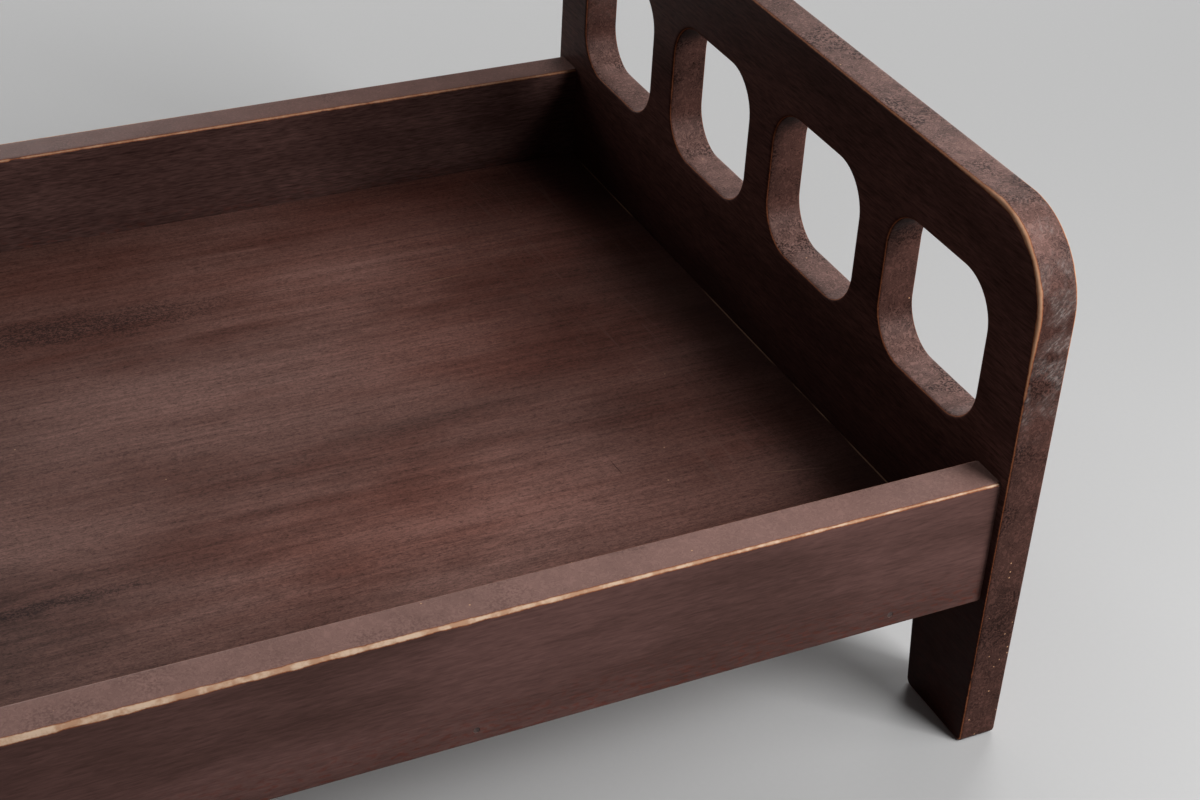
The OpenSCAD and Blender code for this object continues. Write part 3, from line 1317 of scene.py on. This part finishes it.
            # Upward edges get painted light, edges that look down get painted shade
            return 0.6 * smooth(normal.z, 0.1, 0.9) - smooth(normal.z, -0.1, -0.8)
        return float(self.is_outside(centre))

    def scuff_sheen(self, place: Vector) -> float:
        """Gives the scuffing below the top corners and the painted sheen round them.

        Args:
            place: A point of the panel.

        Returns:
            0 for none, 1 for full.
        """
        below = Vector((0.0, self.high.y, self.high.z - 1.25 * self.top_r))
        off_spot = (Vector((0.0, abs(place.y), place.z)) - below).length / MM
        return max(0.5 * smooth(off_spot, 50.0, 12.0), 0.35 * smooth(self._off_corner(place), 40.0, 10.0))


@dataclass
class SideRail(Board):
    """A side rail, with a shallow mouth for the filler over each brad."""

    thin_axis: int = 1
    outward: int = -1
    # How much painted light the rail's top edge gets
    top_lit: float = 0.8
    inner_rub: float = 0.5
    lower_rub: float = 0.3
    outer_rub: float = 0.85
    outer_rub_gain: float = 1.1
    gain_full_at: float = 140.0 * MM
    brad_count: int = 4
    brad_first: float = 44.0 * MM
    brad_z: float = 81.5 * MM
    mouth_r: float = 1.35 * MM
    mouth_depth: float = 1.2 * MM
    brad_vertices: int = 32

    def shape(self) -> Bench:
        """Makes the rail's square blank, with a band round each face.

        Returns:
            The bench with the blank on it.
        """
        bench = Bench.block(self.name, self.low, self.high)
        bench.open()
        bench.divide_long_edges(self.mark_step, self._runs_on)
        for axis in range(3):
            for side in (-1, 1):
                bench.pick(Part.FACES, lambda f: f.normal[axis] * side > ALONG_AXIS)
                bpy.ops.mesh.inset(thickness=self.band, use_boundary=True, use_even_offset=True)
        bench.close()
        return bench

    def detail(self, bench: Bench) -> None:
        """Cuts the brads' mouths into the outer face.

        Args:
            bench: The bench with the eased rail on it.
        """
        cutter = self.brad_pin(0.0, self.mouth_r, 2 * self.mouth_depth)
        self.repeat_at_brads(cutter)
        bench.apply("BOOLEAN", object=cutter.obj, operation="DIFFERENCE", solver="EXACT")
        bpy.data.objects.remove(cutter.obj)

    def brad_pin(self, under: float, radius: float, length: float) -> Bench:
        """Puts a round pin on the bench, at the first brad and square to the rail's outer face.

        Args:
            under: How deep its middle lies under that face.
            radius: Its radius.
            length: Its length.

        Returns:
            The bench with the pin on it.
        """
        face = self.high.y if self.outward > 0 else self.low.y
        Bench.clear()
        bpy.ops.mesh.primitive_cylinder_add(
            vertices=self.brad_vertices,
            radius=radius,
            depth=length,
            location=(self.low.x + self.brad_first, face - self.outward * under, self.brad_z),
            rotation=(-self.outward * math.pi / 2, 0.0, 0.0),
        )
        bpy.ops.object.transform_apply(location=True, rotation=True, scale=True)
        return Bench(bpy.context.object)

    def repeat_at_brads(self, bench: Bench) -> None:
        """Copies what is at the first brad to all the others.

        Args:
            bench: The bench with it.
        """
        step = (self.high.x - self.low.x - 2 * self.brad_first) / (self.brad_count - 1)
        bench.apply(
            "ARRAY",
            count=self.brad_count,
            use_relative_offset=False,
            use_constant_offset=True,
            constant_offset_displace=(step, 0.0, 0.0),
        )

    def depth(self, place: Vector) -> float:
        """Gives how deep a point lies under the nearest of the rail's four long faces."""
        sides = [min(place[i] - self.low[i], self.high[i] - place[i]) for i in (1, 2)]
        return max(min(sides), 0.0)

    @staticmethod
    def _runs_on(edge: bmesh.types.BMEdge) -> bool:
        """Says whether an edge runs along the rail."""
        return abs((edge.verts[0].co - edge.verts[1].co).normalized().x) > ALONG_AXIS

    def is_arris(self, edge: bmesh.types.BMEdge) -> bool:
        """Says whether an edge is eased: the long ones are, the ends butt square against the panels."""
        return self._runs_on(edge) and super().is_arris(edge)

    def _is_outer_top(self, place: Vector) -> bool:
        """Says whether a point belongs to the outer half of the rail's top half."""
        return place.z > (self.low.z + self.high.z) / 2 and self.is_outside(place)

    def is_outside(self, place: Vector) -> bool:
        """Says whether a point lies on the board's half that faces out of the bed."""
        return (place.y - (self.low.y + self.high.y) / 2) * self.outward > 0

    def painted_light(self, centre: Vector, normal: Vector) -> float:
        """Gives how much painted light a face gets: fully on the outer face and on top.

        Args:
            centre: The face's centre.
            normal: Its normal.

        Returns:
            0 for the shaded inside, 1 for lit faces.
        """
        if self.is_cut(normal):
            # Upward edges get more painted light
            return 0.2 + self.top_lit * smooth(normal.z, 0.1, 0.9)
        return float(self.is_outside(centre))

    def rub(self, place: Vector) -> float:
        """Gives how far the arris there is worn back: most on the outer top arris, towards the foot.

        Args:
            place: A point of the rail.

        Returns:
            Half the worn width in millimetres.
        """
        if self._is_outer_top(place):
            gain = smooth(place.x, self.high.x, self.low.x + self.gain_full_at)
            return self.outer_rub + self.outer_rub_gain * gain
        return self.inner_rub if place.z > (self.low.z + self.high.z) / 2 else self.lower_rub

    def pale(self, place: Vector) -> float:
        """Gives how pale the worn arris is: nearly cream on the outer top arris."""
        return 0.95 if self._is_outer_top(place) else 0.3


@dataclass
class Platform(Board):
    """The thin veneered panel between the rails."""

    arris_r: float = 0.5 * MM
    band: float = 2.0 * MM

    def shape(self) -> Bench:
        """Makes the panel's square blank.

        Returns:
            The bench with the blank on it.
        """
        bench = Bench.block(self.name, self.low, self.high)
        bench.open()
        for side in (-1, 1):
            bench.pick(Part.FACES, lambda f: f.normal.z * side > ALONG_AXIS)
            bpy.ops.mesh.inset(thickness=self.band, use_boundary=True, use_even_offset=True)
        bench.close()
        return bench

    def rub(self, place: Vector) -> float:
        """Gives how far the arris there is worn back."""
        return 0.3


@dataclass
class FillerPlugs:
    """The filler over one rail's brads: small dished plugs, a little below the rail's face."""

    node: str
    name: str
    rail: SideRail
    finish: Material
    plug_r: float = 1.3 * MM
    sink: float = 0.15 * MM
    dish: float = 0.15 * MM
    dish_rim: float = 0.39 * MM

    def build(self) -> Object:
        """Models the plugs as one piece and seats it in the frame.

        Returns:
            The finished piece.
        """
        rail = self.rail
        bench = rail.brad_pin((rail.mouth_depth + self.sink) / 2, self.plug_r, rail.mouth_depth - self.sink)
        bench.open()
        bench.pick(Part.FACES, lambda f: f.normal.y * rail.outward > ALONG_AXIS)
        bpy.ops.mesh.inset(thickness=self.dish_rim)
        bpy.ops.transform.translate(value=(0.0, -rail.outward * self.dish, 0.0))
        bench.close()
        rail.repeat_at_brads(bench)
        bpy.ops.object.shade_smooth_by_angle(angle=SMOOTH_UNDER)
        piece = bench.obj
        piece.name = self.name
        piece.data.name = self.name
        piece.data.materials.append(self.finish)
        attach(piece, BODY)
        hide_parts(self.node)
        log.info("%s: %d plugs in place of %s", piece.name, rail.brad_count, self.node)
        return piece


@dataclass(frozen=True)
class CadFinish:
    """CAD nodes whose shape is right and that only get a better material."""

    nodes: tuple[str, ...]
    finish: Material

    def dress(self) -> None:
        """Gives each node the material."""
        for name in self.nodes:
            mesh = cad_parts[name].data
            mesh.materials.clear()
            mesh.materials.append(self.finish)
            log.info("%s keeps its shape, in %s", name, self.finish.name)


@dataclass(frozen=True)
class Softbox:
    """One square soft lamp, hung by its direction and distance from the head end's middle."""

    name: str
    azimuth: float
    elevation: float
    distance: float
    side: float
    watts: float
    target: tuple[float, float, float] = (0.15, 0.0, 0.1)

    def light(self) -> None:
        """Hangs the lamp and turns it to its target."""
        aside, up = math.radians(self.azimuth), math.radians(self.elevation)
        level = math.cos(up)
        outward = Vector((level * math.cos(aside), level * math.sin(aside), math.sin(up)))
        bpy.ops.object.light_add(type="AREA", location=Vector(self.target) + outward * self.distance)
        lamp = bpy.context.object
        lamp.name = self.name
        lamp.data.shape = "SQUARE"
        lamp.data.size = self.side
        lamp.data.energy = self.watts
        lamp.rotation_euler = (-outward).to_track_quat("-Z", "Y").to_euler()


@dataclass
class Studio:
    """The pale floor under soft light: a key in front of the head end and weaker boxes behind it."""

    floor_side: float = 14.0
    world_colour: str = "#c4c4c4"
    world_light: float = 0.06
    lamps: tuple[Softbox, ...] = (
        Softbox("low_key_softbox", azimuth=303, elevation=31, distance=1.1, side=0.42, watts=8.6),
        Softbox("high_key_softbox", azimuth=325, elevation=45, distance=2.2, side=0.8, watts=7.8),
        Softbox("back_high_softbox", azimuth=40, elevation=50, distance=2.0, side=0.8, watts=10.0),
        Softbox("back_low_softbox", azimuth=90, elevation=12, distance=2.0, side=0.8, watts=14.0),
        Softbox("side_low_softbox", azimuth=40, elevation=12, distance=2.0, side=0.8, watts=8.0),
        Softbox("far_softbox", azimuth=108, elevation=30, distance=2.0, side=0.8, watts=6.2),
    )

    def build(self) -> Object:
        """Makes the floor, the lamps and the world.

        Returns:
            The floor.
        """
        Bench.clear()
        bpy.ops.mesh.primitive_plane_add(size=self.floor_side)
        floor = bpy.context.object
        floor.name = "floor"
        floor.data.materials.append(PaperBackdrop().build())
        for lamp in self.lamps:
            lamp.light()
        world = bpy.data.worlds.new("studio")
        recipe = Recipe.empty(world)
        strength = recipe.maths("MAXIMUM", recipe.seen(), self.world_light)
        sky = recipe.add("ShaderNodeBackground", {"Color": linear(self.world_colour), "Strength": strength})
        recipe.add("ShaderNodeOutputWorld", {"Surface": sky.outputs["Background"]})
        bpy.context.scene.world = world
        bpy.context.scene.view_settings.view_transform = "Standard"
        log.info("studio: %d lamps", len(self.lamps))
        return floor


@dataclass(frozen=True)
class PhotoCamera:
    """The camera above the near side of the bed, looking down to the head end."""

    place_mm: tuple[float, float, float] = (-158.8, -770.5, 642.3)
    azimuth: float = math.radians(-27.43)
    elevation: float = math.radians(33.78)
    roll: float = math.radians(3.54)
    lens_mm: float = 66.48
    sensor_mm: float = 36.0

    def build(self) -> Object:
        """Makes the camera and gives it to the scene.

        Returns:
            The camera.
        """
        bpy.ops.object.camera_add()
        camera = bpy.context.object
        camera.name = "photo_camera"
        camera.data.sensor_fit = "HORIZONTAL"
        camera.data.sensor_width = self.sensor_mm
        camera.data.lens = self.lens_mm
        camera.matrix_world = (
            Matrix.Translation(Vector(self.place_mm) * MM)
            @ Matrix.Rotation(self.azimuth, 4, "Z")
            @ Matrix.Rotation(math.pi / 2 - self.elevation, 4, "X")
            @ Matrix.Rotation(self.roll, 4, "Z")
        )
        bpy.context.scene.camera = camera
        return camera


def main() -> None:
    """Builds the camera, the bed's pieces and the studio, in order."""
    logging.basicConfig(level=logging.INFO, format="%(name)s %(message)s")
    PhotoCamera().build()
    across = StainedBoard("stained_board_across", Grain.ACROSS).build()
    along = StainedBoard(
        "stained_board_along",
        Grain.ALONG,
        shaded_inner_dark="#3d2b28",
        shaded_inner_light="#533d39",
        low_shade_top_mm=90.0,
        blotch=0.3,
        fibre=0.3,
    ).build()
    veneer = StainedVeneer().build()
    filler = StainedFiller().build()
    EndPanel("head_panel", "head_board", "end_board", across).build()
    EndPanel("foot_panel", "foot_board", "end_board", across).build()
    near = SideRail("near_rail", "near_side_rail", "rail_board", along, outward=-1)
    near.build()
    far = SideRail(
        "far_rail",
        "far_side_rail",
        "rail_board",
        along,
        outward=1,
        # The far rail's top is painted less lit
        top_lit=0.2,
        inner_rub=0.85,
    )
    far.build()
    Platform("platform_panel", "platform_board", "platform_board", veneer).build()
    FillerPlugs("near_brad_filler", "near_filler_plugs", near, filler).build()
    FillerPlugs("far_brad_filler", "far_filler_plugs", far, filler).build()
    CadFinish(("head_dowels", "foot_dowels"), TurnedBeech().build()).dress()
    CadFinish(("near_brads", "far_brads"), DrawnSteel().build()).dress()
    Studio().build()


if __name__ == "__main__":
    main()
